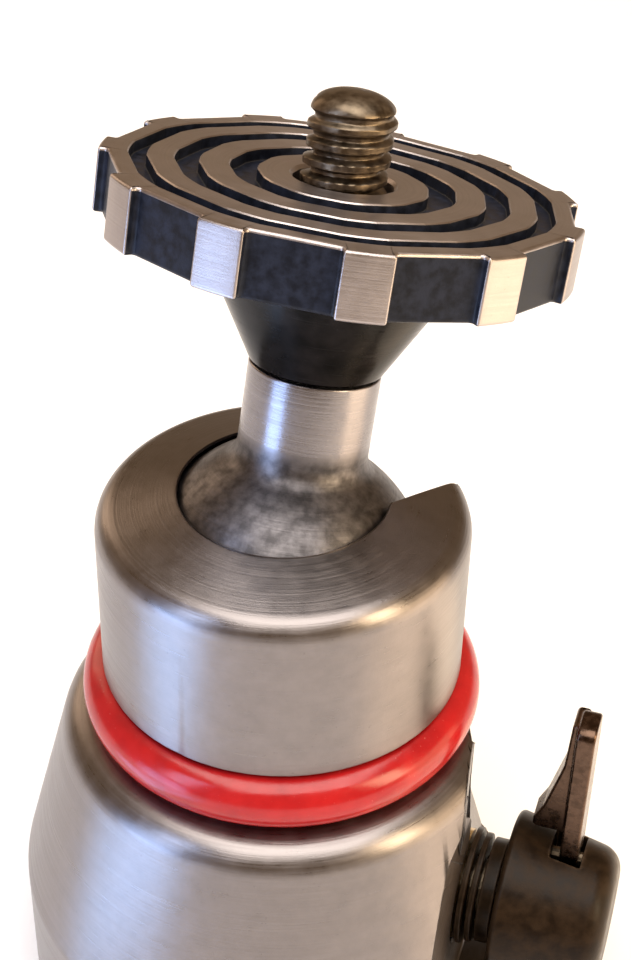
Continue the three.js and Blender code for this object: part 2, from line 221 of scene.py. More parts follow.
def card(name, azimuth, radius, height, size, power, color, tilt):
    """A small lit card near the body: upright and facing it at tilt 0, lying face up at tilt 90."""
    place = around(radius, azimuth) + Vector((0, 0, height))
    area_light(name, place * MM, direction(azimuth, -tilt), size, power, color)


def make_lights():
    lamp("window_left", -126, 30, 0.5, (0.12, 0.30), 0.9, (0.50, 0.66, 1.0))
    lamp("lamp_right", -14, 26, 0.5, (0.14, 0.30), 1.7, (1.0, 0.78, 0.50))
    lamp("overhead", -60, 80, 0.6, (0.6, 0.6), 6.3, (1.0, 0.96, 0.91))
    lamp("rim_behind", 150, 20, 0.5, (0.16, 0.30), 0.3, (1.0, 0.74, 0.52))
    card("cool_table", -130, 85, 1, (0.045, 0.075), 0.040, (0.26, 0.52, 1.0), 90)
    card("cool_card", -130, 150, 30, (0.065, 0.06), 0.090, (0.34, 0.55, 1.0), 8)
    card("warm_table", 8, 90, 1, (0.11, 0.070), 0.027, (1.0, 0.70, 0.40), 90)
    card("warm_card", 8, 150, 45, (0.10, 0.09), 0.075, (1.0, 0.74, 0.46), 8)
    world = bpy.data.worlds.new("studio")
    bpy.context.scene.world = world
    world.use_nodes = True
    background = world.node_tree.nodes["Background"]
    background.inputs["Color"].default_value = (0.36, 0.235, 0.135, 1)
    background.inputs["Strength"].default_value = 1.0
    bpy.context.scene.view_settings.view_transform = "Standard"


# ---- Mesh helpers --------------------------------------------------------------------------------

COLUMN = Matrix.Identity(4)
STEM_TURN = Vector((0, 0, 1)).rotation_difference(STEM_DIRECTION).to_matrix().to_4x4()
STEM_PLACE = Matrix.Translation(BALL * MM) @ STEM_TURN
# local Z runs along +X and local X points up
KNOB_PLACE = Matrix.Translation(Vector((0, 0, KNOB_Z)) * MM) @ Matrix(
    ((0, 0, 1, 0), (0, -1, 0, 0), (1, 0, 0, 0), (0, 0, 0, 1))
)


def new_object(name, points, faces, place=COLUMN):
    """A mesh object from points in millimetres, standing at the given place."""
    mesh = bpy.data.meshes.new(name)
    mesh.from_pydata([Vector(p) * MM for p in points], [], faces)
    mesh.validate()
    obj = bpy.data.objects.new(name, mesh)
    bpy.context.scene.collection.objects.link(obj)
    obj.matrix_world = place
    face_outward(obj)
    return obj


def face_outward(obj):
    bm = bmesh.new()
    bm.from_mesh(obj.data)
    bmesh.ops.recalc_face_normals(bm, faces=bm.faces)
    bm.to_mesh(obj.data)
    bm.free()


def rounded(points, closed=False, step=12):
    """The outline with each (x, y, radius) corner turned into an arc. A corner with no radius stays sharp."""
    line = []
    count = len(points)
    for i, point in enumerate(points):
        corner = Vector(point[:2])
        if len(point) < 3 or (not closed and i in (0, count - 1)):
            line.append(corner)
            continue
        before = Vector(points[i - 1][:2]) - corner
        after = Vector(points[(i + 1) % count][:2]) - corner
        room = 0.49 * min(before.length, after.length)
        before.normalize()
        after.normalize()
        half = before.angle(after) / 2
        cut = min(point[2] / math.tan(half), room)
        centre = corner + (before + after).normalized() * cut / math.cos(half)
        start = corner + before * cut - centre
        end = corner + after * cut - centre
        sweep = start.angle_signed(end)
        steps = max(2, math.ceil(abs(sweep) / math.radians(step)))
        for k in range(steps + 1):
            angle = -sweep * k / steps
            turned_x = start.x * math.cos(angle) - start.y * math.sin(angle)
            turned_y = start.x * math.sin(angle) + start.y * math.cos(angle)
            line.append(centre + Vector((turned_x, turned_y)))
    return line


def arc(centre_x, centre_y, radius, start, end, steps):
    """Points on an arc from one angle to another, in degrees."""
    angles = [math.radians(start + (end - start) * i / steps) for i in range(steps + 1)]
    return [(centre_x + radius * math.cos(a), centre_y + radius * math.sin(a)) for a in angles]


def joined_rings(rings, closed):
    """Points and faces of a skin over rings of points. A ring of one point is a pole."""
    points = []
    starts = []
    for ring in rings:
        starts.append(len(points))
        points.extend(ring)
    faces = []
    pairs = [(i, i + 1) for i in range(len(rings) - 1)]
    if closed:
        pairs.append((len(rings) - 1, 0))
    for low, high in pairs:
        count = max(len(rings[low]), len(rings[high]))
        for k in range(count):
            ring_low = [starts[low] + j % len(rings[low]) for j in (k, k + 1)]
            ring_high = [starts[high] + j % len(rings[high]) for j in (k + 1, k)]
            faces.append(tuple(dict.fromkeys(ring_low + ring_high)))
    return points, faces


def turned(name, profile, place=COLUMN, segments=160):
    """A lathe-turned piece about local Z. The profile ends on the axis or closes on itself."""
    rings = []
    for r, z in profile:
        if r < 1e-6:
            rings.append([(0, 0, z)])
            continue
        angles = [2 * math.pi * k / segments for k in range(segments)]
        rings.append([(r * math.cos(a), r * math.sin(a), z) for a in angles])
    closed = profile[0][0] > 1e-6
    return new_object(name, *joined_rings(rings, closed), place)


def plug(name, radius, low, high, place, segments):
    """A plain cylinder between two heights, for cutting round holes."""
    return turned(name, [(0, low), (radius, low), (radius, high), (0, high)], place, segments)


def pushed(name, outline, low, high, place=COLUMN):
    """A flat outline pushed from one height to another."""
    rings = [[(x, y, z) for x, y in outline] for z in (low, high)]
    points, faces = joined_rings(rings, False)
    count = len(outline)
    faces += [tuple(reversed(range(count))), tuple(range(count, 2 * count))]
    return new_object(name, points, faces, place)


def bake_modifiers(obj):
    """Turns what the modifiers make into the mesh itself."""
    graph = bpy.context.evaluated_depsgraph_get()
    done = bpy.data.meshes.new_from_object(obj.evaluated_get(graph))
    obj.modifiers.clear()
    obj.data = done


def combine(obj, other, operation):
    """Joins the other object to this one or cuts it away. The other object is used up."""
    boolean = obj.modifiers.new("combine", "BOOLEAN")
    boolean.operation = operation
    boolean.solver = "EXACT"
    boolean.object = other
    bpy.context.view_layer.update()
    bake_modifiers(obj)
    bpy.data.objects.remove(other)


def cut(obj, *cutters):
    for cutter in cutters:
        combine(obj, cutter, "DIFFERENCE")


def soften(obj, width, angle=32, segments=2):
    """Rounds every edge sharper than the angle, once points that nearly touch are merged."""
    weld = 0.05
    bm = bmesh.new()
    bm.from_mesh(obj.data)
    bmesh.ops.remove_doubles(bm, verts=bm.verts, dist=weld * MM)
    bmesh.ops.dissolve_degenerate(bm, edges=bm.edges, dist=0.4 * weld * MM)
    bm.to_mesh(obj.data)
    bm.free()
    bevel = obj.modifiers.new("soften", "BEVEL")
    bevel.width = width * MM
    bevel.segments = segments
    bevel.limit_method = "ANGLE"
    bevel.angle_limit = math.radians(angle)
    bevel.use_clamp_overlap = False
    bevel.miter_outer = "MITER_ARC"
    bpy.context.view_layer.update()
    bake_modifiers(obj)


def smooth(obj):
    """Shades the piece smooth, apart from edges that turn by more than 35 degrees."""
    for polygon in obj.data.polygons:
        polygon.use_smooth = True
    obj.data.set_sharp_from_angle(angle=math.radians(35))
    weighted = obj.modifiers.new("even_normals", "WEIGHTED_NORMAL")
    weighted.keep_sharp = True
    weighted.weight = 60


def finish_piece(obj, body, replaced, slot, *finishes):
    """Gives a piece its finishes and its body, and hides the CAD node that it stands for."""
    for finish in finishes:
        obj.data.materials.append(finish)
    smooth(obj)
    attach(obj, body)
    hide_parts(replaced)
    return obj


# ---- Finishes ------------------------------------------------------------------------------------


class Finish:
    """A node material that is built up step by step around one Principled shader."""

    def __init__(self, name, roughness, metallic=0.0):
        self.material = bpy.data.materials.new(name)
        self.material.use_nodes = True
        self.nodes = self.material.node_tree.nodes
        self.links = self.material.node_tree.links
        self.shader = self.nodes["Principled BSDF"]
        self.put("Roughness", roughness)
        self.put("Metallic", metallic)
        self.place = self.add("ShaderNodeTexCoord").outputs["Object"]

    def put(self, socket, value):
        self.shader.inputs[socket].default_value = value

    def add(self, kind, **settings):
        node = self.nodes.new(kind)
        for key, value in settings.items():
            setattr(node, key, value)
        return node

    def math(self, operation, first, second=0.0):
        node = self.add("ShaderNodeMath", operation=operation)
        for i, value in enumerate((first, second)):
            if isinstance(value, (int, float)):
                node.inputs[i].default_value = value
            else:
                self.links.new(value, node.inputs[i])
        return node.outputs[0]

    def noise(self, size, detail=3.0, place=None):
        """Noise whose features are about this many millimetres across."""
        node = self.add("ShaderNodeTexNoise")
        node.inputs["Scale"].default_value = 1 / (size * MM)
        node.inputs["Detail"].default_value = detail
        node.inputs["Roughness"].default_value = 0.55
        self.links.new(place or self.place, node.inputs["Vector"])
        return node.outputs["Fac"]

    def ring_place(self, along_ring=0.02):
        """Coordinates that change little round the local Z axis, for tool marks left by turning."""
        split = self.add("ShaderNodeSeparateXYZ")
        self.links.new(self.place, split.inputs[0])
        x, y, z = split.outputs
        radius = self.math("SQRT", self.math("ADD", self.math("MULTIPLY", x, x), self.math("MULTIPLY", y, y)))
        join = self.add("ShaderNodeCombineXYZ")
        self.links.new(radius, join.inputs[0])
        self.links.new(z, join.inputs[1])
        self.links.new(self.math("MULTIPLY", self.math("ADD", x, y), along_ring), join.inputs[2])
        return join.outputs[0]

    def blend(self, factor, low, high, from_value=0.35, to_value=0.65):
        """A colour that goes from low to high as the factor rises."""
        ramp = self.add("ShaderNodeValToRGB")
        ramp.color_ramp.elements[0].position = from_value
        ramp.color_ramp.elements[1].position = to_value
        ramp.color_ramp.elements[0].color = (*low, 1)
        ramp.color_ramp.elements[1].color = (*high, 1)
        self.links.new(factor, ramp.inputs[0])
        return ramp.outputs["Color"]

    def layer(self, factor, below, above):
        """One colour laid over another. Each is a socket or a plain colour."""
        mix = self.add("ShaderNodeMix", data_type="RGBA")
        for socket, value in zip((mix.inputs[0], mix.inputs[6], mix.inputs[7]), (factor, below, above)):
            if isinstance(value, tuple):
                socket.default_value = (*value, 1)
            else:
                self.links.new(value, socket)
        return mix.outputs[2]

    def between(self, factor, low, high, from_value=0.3, to_value=0.7):
        """A number that goes from low to high as the factor rises."""
        node = self.add("ShaderNodeMapRange")
        for i, value in enumerate((from_value, to_value, low, high)):
            node.inputs[i + 1].default_value = value
        self.links.new(factor, node.inputs[0])
        return node.outputs[0]

    def edges(self, radius, sharpness=3.0):
        """Near 1 on edges, where wear shows, and 0 on open surfaces."""
        bevel = self.add("ShaderNodeBevel", samples=6)
        bevel.inputs["Radius"].default_value = radius * MM
        normal = self.add("ShaderNodeNewGeometry").outputs["Normal"]
        dot = self.add("ShaderNodeVectorMath", operation="DOT_PRODUCT")
        self.links.new(bevel.outputs[0], dot.inputs[0])
        self.links.new(normal, dot.inputs[1])
        lost = self.math("SUBTRACT", 1.0, dot.outputs["Value"])
        return self.math("MINIMUM", self.math("MULTIPLY", lost, sharpness), 1.0)

    def color(self, output):
        self.links.new(output, self.shader.inputs["Base Color"])

    def rough(self, output):
        self.links.new(output, self.shader.inputs["Roughness"])

    def bump(self, *heights):
        """Stacks (height output, depth in millimetres) bumps."""
        normal = None
        for height, depth in heights:
            node = self.add("ShaderNodeBump")
            node.inputs["Distance"].default_value = depth * MM
            self.links.new(height, node.inputs["Height"])
            if normal:
                self.links.new(normal, node.inputs["Normal"])
            normal = node.outputs[0]
        self.links.new(normal, self.shader.inputs["Normal"])

    def turned_sheen(self, amount):
        """Stretches highlights across the turning marks."""
        tangent = self.add("ShaderNodeTangent", direction_type="RADIAL", axis="Z")
        self.links.new(tangent.outputs[0], self.shader.inputs["Tangent"])
        self.put("Anisotropic", amount)
        self.put("Anisotropic Rotation", 0.25)


def shade(color, amount):
    return tuple(min(1.0, part * amount) for part in color)


def aluminium(name, color, roughness, streak, dull_below=None):
    """Satin turned aluminium: faint ring marks, a little mottling and small dark specks.

    Below a height in millimetres along local Z it can be duller and darker, as on the ball.
    """
    f = Finish(name, roughness, 1.0)
    ring = f.ring_place()
    marks = f.noise(0.16, 2.0, ring)
    mottle = f.noise(1.6, 4.0)
    specks = f.noise(0.35, 2.0)
    base = f.blend(mottle, shade(color, 0.9), shade(color, 1.06), 0.3, 0.7)
    pits = f.between(specks, 0.0, 0.35, 0.70, 0.78)
    base = f.layer(pits, base, shade(color, 0.45))
    grain = f.math("ADD", f.math("MULTIPLY", marks, 0.6), f.math("MULTIPLY", mottle, 0.4))
    rough = f.between(grain, roughness - 0.07, roughness + 0.09)
    if dull_below is not None:
        split = f.add("ShaderNodeSeparateXYZ")
        f.links.new(f.place, split.inputs[0])
        dull = f.between(split.outputs[2], 1.0, 0.0, (dull_below - 1.2) * MM, dull_below * MM)
        # a darker, duller mottled tone below the height along local Z
        darker_lower_tone = f.blend(f.noise(0.9, 5.0), shade(color, 0.28), shade(color, 0.62))
        base = f.layer(dull, base, darker_lower_tone)
        rough = f.math("ADD", rough, f.math("MULTIPLY", dull, 0.14))
    f.color(base)
    f.rough(rough)
    f.bump((marks, 0.012), (f.noise(0.12, 2.0), 0.006), (specks, 0.004))
    f.turned_sheen(streak)
    return f.material


def black_anodised():
    f = Finish("black_anodised", 0.38, 0.0)
    mottle = f.noise(0.8, 3.0)
    base = f.blend(mottle, (0.006, 0.007, 0.011), (0.014, 0.017, 0.028))
    f.color(f.layer(f.edges(0.22, 4.0), base, (0.06, 0.055, 0.05)))
    f.rough(f.between(mottle, 0.30, 0.46))
    f.bump((f.noise(0.10, 2.0), 0.006))
    f.put("Specular IOR Level", 0.13)
    return f.material


def gloss_black():
    f = Finish("gloss_black", 0.2, 0.0)
    marks = f.noise(0.25, 3.0, f.ring_place(0.05))
    dust = f.noise(0.3, 2.0)
    base = f.blend(f.noise(2.0), (0.006, 0.0055, 0.005), (0.014, 0.012, 0.011))
    f.color(f.layer(f.between(dust, 0.0, 0.5, 0.72, 0.80), base, (0.10, 0.09, 0.08)))
    f.rough(f.between(marks, 0.14, 0.28))
    f.bump((marks, 0.004))
    f.put("Specular IOR Level", 0.07)
    f.put("Coat Weight", 0.03)
    f.put("Coat Roughness", 0.12)
    return f.material


def knob_metal():
    """Dark brown-black plated metal, rubbed lighter on its edges."""
    f = Finish("knob_brown_black", 0.32, 0.0)
    mottle = f.noise(1.2, 4.0)
    grime = f.noise(0.4, 3.0)
    base = f.blend(mottle, (0.009, 0.005, 0.0025), (0.020, 0.011, 0.005))
    f.put("Specular IOR Level", 0.1)
    worn = f.math("MULTIPLY", f.edges(0.5, 3.0), f.between(grime, 0.2, 0.9))
    f.color(f.layer(worn, base, (0.14, 0.095, 0.065)))
    f.rough(f.between(mottle, 0.28, 0.44))
    f.bump((grime, 0.012), (f.noise(0.12, 2.0), 0.005))
    return f.material


def rubbed_steel(name, color, roughness):
    """Bare steel, mottled darker in places, with light rubbed edges."""
    f = Finish(name, roughness, 1.0)
    mottle = f.noise(0.7, 4.0)
    grime = f.noise(0.25, 3.0)
    base = f.blend(mottle, shade(color, 0.55), color, 0.32, 0.6)
    worn = f.math("MULTIPLY", f.edges(0.25, 3.0), 0.7)
    f.color(f.layer(worn, base, shade(color, 1.7)))
    f.rough(f.between(mottle, roughness - 0.08, roughness + 0.12))
    f.bump((grime, 0.012))
    return f.material


def red_rubber():
    f = Finish("red_rubber", 0.3, 0.0)
    mottle = f.noise(2.5, 3.0)
    dust = f.noise(0.25, 2.0)
    base = f.blend(mottle, (0.30, 0.007, 0.009), (0.38, 0.010, 0.011))
    f.color(f.layer(f.between(dust, 0.0, 0.25, 0.70, 0.8), base, (0.75, 0.30, 0.25)))
    f.rough(f.between(f.noise(0.9), 0.15, 0.26))
    f.bump((f.noise(0.5, 2.0), 0.006))
    f.put("Specular IOR Level", 0.4)
    f.put("Subsurface Weight", 0.08)
    f.put("Subsurface Radius", (0.0012, 0.0004, 0.0003))
    return f.material


def moulded(name, color, roughness):
    """Plain matt plastic or paint, faintly mottled."""
    f = Finish(name, roughness, 0.0)
    mottle = f.noise(1.5, 3.0)
    f.color(f.blend(mottle, shade(color, 0.85), color))
    f.rough(f.between(mottle, roughness - 0.06, roughness + 0.08))
    f.bump((f.noise(0.2, 2.0), 0.01))
    return f.material


def machined_brass():
    f = Finish("machined_brass", 0.3, 1.0)
    marks = f.noise(0.15, 2.0, f.ring_place())
    f.color(f.blend(f.noise(1.0), (0.42, 0.27, 0.09), (0.56, 0.38, 0.15)))
    f.rough(f.between(marks, 0.24, 0.4))
    f.bump((marks, 0.01))
    return f.material


def floor_paint():
    f = Finish("floor_paper", 0.9, 0.0)
    f.color(f.blend(f.noise(40.0), (0.86, 0.86, 0.86), (0.89, 0.89, 0.89)))
    f.bump((f.noise(0.6, 3.0), 0.01))
    return f.material


# ---- Body pieces ---------------------------------------------------------------------------------


def notch_cutter():
    """The slot that the stem drops into. Local Z points out of the notch and local Y up."""
    height = APERTURE_Z + 4 - NOTCH_CENTRE.z
    outline = arc(0, 0, NOTCH_HALF, 180, 360, 40) + [(NOTCH_HALF, height), (-NOTCH_HALF, height)]
    out = around(1, NOTCH_DEGREES)
    up = Vector((0, 0, 1))
    turn = Matrix((up.cross(out), up, out)).transposed().to_4x4()
    return pushed("notch_cutter", outline, 0, 2 * COLLAR_R, Matrix.Translation(NOTCH_CENTRE * MM) @ turn)


def flat_cutter(degrees, outline, low, high):
    """A flat beside the knob. Local Z runs along the flat, and the outline is (outward, up)."""
    out = around(1, degrees)
    up = Vector((0, 0, 1))
    place = Matrix((out, up, out.cross(up))).transposed().to_4x4()
    return pushed("flat_cutter", outline, low, high, place)


def upper_flat():
    """The flat above the knob, which runs out on the cone in a sloping end."""
    return flat_cutter(8, [(15.8, 22.5), (30, 8.3), (30, 35), (15.8, 35)], -32, 32)


def rear_flat():
    """The longer flat behind the knob, which falls away gently toward the foot."""
    return flat_cutter(22, [(14.7, 20), (19.5, 5), (30, 5), (30, 35), (14.7, 35)], -30, 6)


def housing():
    cavity_top = math.degrees(math.acos(APERTURE_R / CAVITY_R))
    cavity_foot = math.degrees(math.asin((BORE_TOP - BALL.z) / CAVITY_R))
    foot = PLATE_THICK + GAP
    shell = rounded([
        (BORE_R, foot), (SKIRT_R, foot, 0.35), (SKIRT_R, SKIRT_TOP - 0.1, 3),
        (SHOULDER_R, SHOULDER_Z, 3), (GROOVE_R, SHOULDER_Z),
        (GROOVE_R, COLLAR_BOTTOM), (COLLAR_R, COLLAR_BOTTOM, 0.22), (COLLAR_R, COLLAR_TOP, 2.0),
        (APERTURE_R + 0.05, APERTURE_Z, 0.1),
    ])
    cavity = arc(0, BALL.z, CAVITY_R, cavity_top, cavity_foot, 8)
    obj = turned("housing_turned", shell + cavity + [(BORE_R, BORE_TOP)], segments=192)
    pocket_place = KNOB_PLACE @ Matrix.Translation(Vector((POCKET_Z - KNOB_Z, 0, 0)) * MM)
    pocket = plug("pocket_cutter", POCKET_R, POCKET_FLOOR, POCKET_MOUTH, pocket_place, 128)
    channel = plug("channel_cutter", CHANNEL_R, 8, 20, KNOB_PLACE, 64)
    cut(obj, notch_cutter(), upper_flat(), rear_flat(), pocket, channel)
    soften(obj, 0.16)
    return obj


def paint_pocket_shade(obj):
    """Paints shade into the knob's spot-face: its floor and wall get the painted-shade finish in slot 1."""
    for polygon in obj.data.polygons:
        x, y, z = polygon.center / MM
        inside = x > POCKET_FLOOR - 0.1 and math.hypot(y, z - POCKET_Z) < POCKET_R + 0.05
        on_floor = polygon.normal.x > 0.995
        on_wall = abs(polygon.normal.x) < 0.1
        polygon.material_index = 1 if inside and (on_floor or on_wall) else 0


def bumper_ring():
    return turned("bumper_oring", arc(RING_R, RING_Z, RING_SECTION_R, -97, 97, 32), segments=220)


def base_screw_place(degrees):
    return Matrix.Translation(around(BASE_SCREW_RING, degrees) * MM)


def base_foot():
    """The plate that closes the body, with a spigot that reaches up into its bore."""
    obj = turned("foot_plate", rounded([
        (INSERT_HOLE_R, 0, 0.2), (PLATE_R - 0.5, 0), (PLATE_R, 0.5, 0.2), (PLATE_R, PLATE_THICK, 0.2),
        (SPIGOT_R, PLATE_THICK), (SPIGOT_R, SPIGOT_TOP, 0.3), (0, SPIGOT_TOP), (0, INSERT_HOLE_TOP),
        (INSERT_HOLE_R, INSERT_HOLE_TOP),
    ]), segments=160)
    mouth_r = BASE_HEAD_R + 0.5
    hole_r = BASE_SHANK_R + GAP
    profile = [(0, -1), (mouth_r, -1), (mouth_r, 0.1), (hole_r, BASE_HEAD_END), (hole_r, 5), (0, 5)]
    for degrees in BASE_SCREWS:
        cut(obj, turned("countersink_cutter", profile, base_screw_place(degrees), 48))
    soften(obj, 0.12)
    return obj


def base_screw(degrees):
    """A countersunk screw with a hexagon socket, seen from under the foot."""
    profile = rounded([
        (0, BASE_HEAD_START), (BASE_HEAD_R, BASE_HEAD_START, 0.1), (BASE_HEAD_R, BASE_HEAD_START + 0.2, 0.05),
        (BASE_SHANK_R, BASE_HEAD_END), (BASE_SHANK_R, BASE_SHANK_END, 0.2), (0, BASE_SHANK_END),
    ])
    obj = turned("countersunk_screw", profile, base_screw_place(degrees), 48)
    hexagon = arc(0, 0, 1.15, 0, 300, 5)
    cut(obj, pushed("socket_cutter", hexagon, -1, 1.4, base_screw_place(degrees)))
    soften(obj, 0.05)
    return obj


# ---- Ball, stem and platform ---------------------------------------------------------------------


def ball_stem():
    """The ball and its stem in one turned piece, with a fillet between them."""
    fillet_x = STEM_R + STEM_FILLET
    fillet_z = math.sqrt((BALL_R + STEM_FILLET) ** 2 - fillet_x**2)
    ball_end = math.degrees(math.atan2(fillet_z, fillet_x))
    profile = [(0, -BALL_R), *arc(0, 0, BALL_R, -90, ball_end, 60)[1:]]
    profile += arc(fillet_x, fillet_z, STEM_FILLET, 180 + ball_end, 180, 10)[1:]
    profile += rounded([(STEM_R, STEM_END - 2), (STEM_R, STEM_END, 0.15), (0, STEM_END)])
    return turned("ball_and_stem", profile, STEM_PLACE)


def neck_cone():
    tip = STEM_END + GAP
    under = PLATFORM_BOTTOM - GAP
    profile = rounded([(0, tip), (CONE_TIP_R, tip, 0.1), (CONE_TOP_R, under, 0.2), (0, under)])
    return turned("neck_cone_turned", profile, STEM_PLACE)


def platform_outline():
    """The castellated rim: lands at full radius with flat-floored notches between them."""
    corners = []
    step = 2 * math.pi / RIM_NOTCHES
    edge = math.asin(RIM_NOTCH_HALF / PLATFORM_R)
    edge_x = PLATFORM_R * math.cos(edge)
    notch = ((edge_x, -1, 0.16), (RIM_FLOOR_R, -1, 0.55), (RIM_FLOOR_R, 1, 0.55), (edge_x, 1, 0.16))
    land_steps = 7
    for k in range(RIM_NOTCHES):
        middle = RIM_PHASE + (k + 0.5) * step
        across = Vector((math.cos(middle), math.sin(middle)))
        along = Vector((-across.y, across.x))
        for distance, side, radius in notch:
            corner = across * distance + along * side * RIM_NOTCH_HALF
            corners.append((corner.x, corner.y, radius))
        for j in range(1, land_steps):
            angle = middle + edge + (step - 2 * edge) * j / land_steps
            corners.append((PLATFORM_R * math.cos(angle), PLATFORM_R * math.sin(angle)))
    return rounded(corners, closed=True, step=18)


def inset(outline, depth):
    """The outline moved inwards by a depth."""
    moved = []
    count = len(outline)
    for i, point in enumerate(outline):
        along = (outline[(i + 1) % count] - outline[i - 1]).normalized()
        moved.append(point + Vector((-along.y, along.x)) * depth)
    return moved


def platform():
    """The platform as rings of points: up its rim, then in across its top. Returns what painting it needs."""
    outline = platform_outline()
    directions = [p.normalized() for p in outline]

    def circle(radius, z):
        return [(d.x * radius, d.y * radius, z) for d in directions]

    def rim(depth, z):
        return [(p.x, p.y, z) for p in inset(outline, depth)]

    top = PLATFORM_TOP
    bottom = PLATFORM_BOTTOM
    floor = top - TOP_GROOVE_DEPTH
    edge = 0.26
    lip = 0.09
    hole_edge = 0.25
    angles = [math.pi / 2 * k / RIM_EDGE_STEPS for k in range(RIM_EDGE_STEPS + 1)]
    rings = [circle(PLATFORM_HOLE_R, bottom)]
    rings += [rim(edge * (1 - math.sin(a)), bottom + edge * (1 - math.cos(a))) for a in angles]
    side_ring = len(rings) - 1
    rings += [rim(edge * (1 - math.cos(a)), top - edge * (1 - math.sin(a))) for a in angles]
    groove_rings = []
    for inner, outer in TOP_GROOVES:
        groove_rings.append(len(rings) + 1)
        rings += [circle(outer + lip, top), circle(outer, top - lip), circle(outer, floor),
                  circle(inner, floor), circle(inner, top - lip), circle(inner - lip, top)]
    rings += [circle(PLATFORM_HOLE_R + hole_edge, top), circle(PLATFORM_HOLE_R, top - hole_edge)]
    points, faces = joined_rings(rings, True)
    obj = new_object("platform_turned", points, faces, STEM_PLACE)
    return obj, groove_rings, side_ring, outline


def paint_platform(obj, groove_rings, side_ring, outline):
    """Blackens the floors and walls of the grooves and rim notches. Slot 1 is the black."""
    count = len(outline)
    for polygon in obj.data.polygons:
        lowest = min(polygon.vertices) // count
        highest = max(polygon.vertices) // count
        in_groove = any(lowest >= start and highest <= start + 3 for start in groove_rings)
        on_side = side_ring - RIM_EDGE_STEPS <= lowest and highest <= side_ring + 1
        radii = [obj.data.vertices[i].co.to_2d().length / MM for i in polygon.vertices]
        in_notch = on_side and sum(radii) / len(radii) < PLATFORM_R - 0.12
        polygon.material_index = 1 if in_groove or in_notch else 0


def thread_height(turn):
    """How far out a thread's flank stands, 0 at the root and 1 at the crest, for a fraction of a turn."""
    root = 0.14
    flank = 0.66
    ramp = abs(2 * (turn % 1) - 1)
    ramp = min(1, max(0, (ramp - root) / flank))
    return ramp * ramp * (3 - 2 * ramp)


def camera_screw():
    """A right-hand thread with a worn, rounded end."""
    segments = 96
    rise = 0.055
    depth = 0.61 * SCREW_PITCH
    crest_loss = 0.12
    root_fill = 0.62
    wear_start = PLATFORM_TOP + 1.5
    wear_length = 3.2
    dome = 1.9
    dent = 0.13
    rings = [[(0, 0, PLATFORM_BOTTOM)]]
    for level in range(int((SCREW_END - PLATFORM_BOTTOM) / rise)):
        z = PLATFORM_BOTTOM + level * rise
        worn = min(1, max(0, (z - wear_start) / wear_length))
        into_dome = max(0, z - (SCREW_END - dome)) / dome
        limit = (SCREW_R - crest_loss) * math.sqrt(max(0.0, 1 - into_dome**2.6)) + 0.02
        ring = []
        for k in range(segments):
            a = 2 * math.pi * k / segments
            height = thread_height(z / SCREW_PITCH - k / segments)
            r = SCREW_R - crest_loss * worn - depth * (1 - root_fill * worn) * (1 - height)
            wear = dent * noise.noise(Vector((2 * math.cos(a), 2 * math.sin(a), z * 0.9)))
            r = min(r, limit) + wear * min(1, limit / SCREW_R)
            ring.append((r * math.cos(a), r * math.sin(a), z))
        rings.append(ring)
    rings.append([(0, 0, SCREW_END - 0.02)])
    return new_object("camera_thread", *joined_rings(rings, False), STEM_PLACE)


# ---- Lock knob -----------------------------------------------------------------------------------


def lever_pin_hole(start, end):
    place = KNOB_PLACE @ Matrix.Translation(Vector((*LEVER_PIN, 0)) * MM)
    return plug("hole_cutter", LEVER_PIN_HOLE_R, start, end, place, 32)


def knob_hub():
    """The hub tapers outwards. The lever stands in a slot that opens on its top."""
    obj = turned("knob_turned", rounded([
        (HUB_BORE_R, HUB_START, 0.1), (HUB_R, HUB_START, 0.45), (HUB_END_R, HUB_END, 2.0), (0, HUB_END),
        (0, HUB_BORE_END), (HUB_BORE_R, HUB_BORE_END),
    ], step=9), KNOB_PLACE, 160)
    floor = BLADE_FOOT - GAP
    mouth = HUB_R + 2
    outline = [(floor, -4), (mouth, -4), (mouth, 0.8), (floor, 0.8)]
    slot = pushed("slot_cutter", outline, SLOT_START, BLADE_X + BLADE_THICK + GAP, KNOB_PLACE)
    cut(obj, slot, lever_pin_hole(LEVER_PIN_START - GAP, LEVER_PIN_END + GAP))
    soften(obj, 0.14)
    return obj


def lever_web():
    """The web on the blade's side. Local X runs along the knob's axis, local Y up and local Z across."""
    root = HUB_R + 0.5
    top = 19.6
    outline = rounded([
        (BLADE_X + 0.5, root), (BLADE_X - 2.65, root, 0.4), (BLADE_X - 2.65, root + 0.9, 0.3),
        (BLADE_X - 1.95, 10.2, 3), (BLADE_X - 1.35, 12.6, 4), (BLADE_X - 0.75, 15, 6),
        (BLADE_X - 0.5, top, 0.4), (BLADE_X + 0.5, top),
    ])
    turn = Matrix(((0, 1, 0, 0), (0, 0, 1, 0), (1, 0, 0, 0), (0, 0, 0, 1)))
    return pushed("lever_web", outline, -3.5, -1.0, KNOB_PLACE @ turn)


def lever():
    """The lever: a narrow upright plate with a web on its side toward the body."""
    outline = rounded([
        (BLADE_FOOT, 0.4, 0.2), (BLADE_REACH, 0.4, 1.0), (BLADE_REACH, -3.2, 1.2), (8, -3.6, 2),
        (BLADE_FOOT, -3.6, 0.2),
    ], closed=True)
    obj = pushed("lever_plate", outline, BLADE_X, BLADE_X + BLADE_THICK, KNOB_PLACE)
    combine(obj, lever_web(), "UNION")
    cut(obj, lever_pin_hole(BLADE_X - 1, BLADE_X + BLADE_THICK + 1))
    soften(obj, 0.22, 40, 3)
    return obj


def washer(name, outer, start, end):
    """A ring on the lock screw, between the body and the knob's hub."""
    edge = 0.12
    corners = [(NECK_BORE_R, start), (outer, start), (outer, end), (NECK_BORE_R, end)]
    return turned(name, rounded([(*corner, edge) for corner in corners], closed=True), KNOB_PLACE, 96)


# ---- Making it -----------------------------------------------------------------------------------


